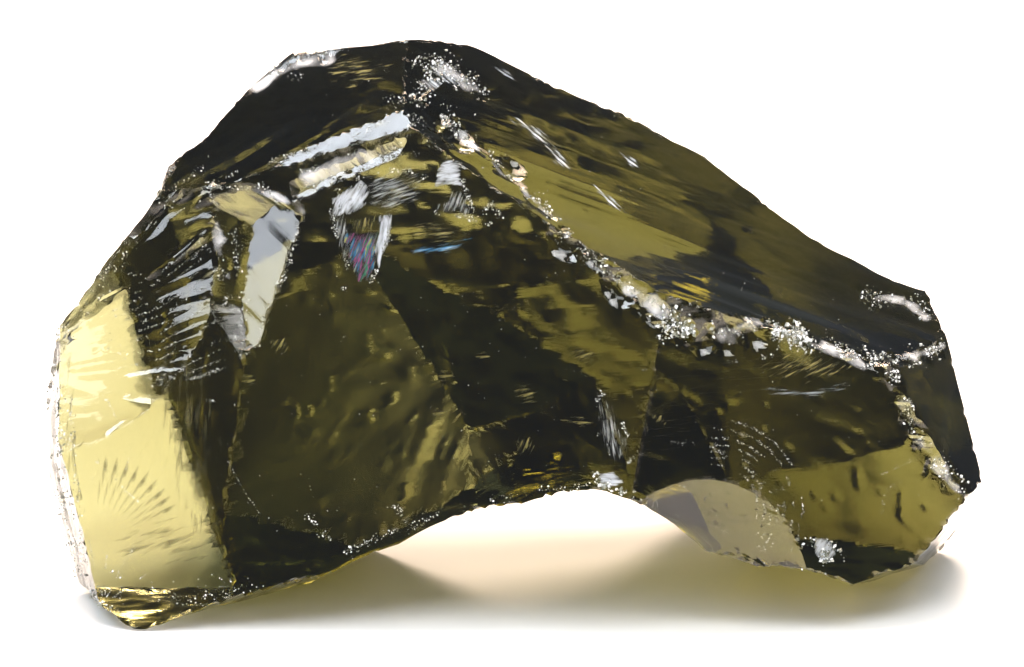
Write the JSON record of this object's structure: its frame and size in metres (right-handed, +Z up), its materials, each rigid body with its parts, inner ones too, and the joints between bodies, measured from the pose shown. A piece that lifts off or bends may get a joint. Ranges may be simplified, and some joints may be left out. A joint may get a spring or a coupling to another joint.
{
  "type": "brazilianite crystal fragment",
  "caption": "Broken fragment of clear yellow-green brazilianite, with a thin glowing end, crushed ridges and an arched gap between its two feet.",
  "frame": {"origin": "middle of the bounding box seen from above, at the height of the surface the fragment stands on", "axes": "+X to the right along the fragment's longest extent, +Y to its back, +Z up"},
  "size_m": [0.042, 0.0228, 0.0251],
  "materials": {
    "crystal": "clear yellow-green crystal with vitreous fracture faces"
  },
  "bodies": {
    "root": {"crystal": "crystal"}
  },
  "joints": []
}
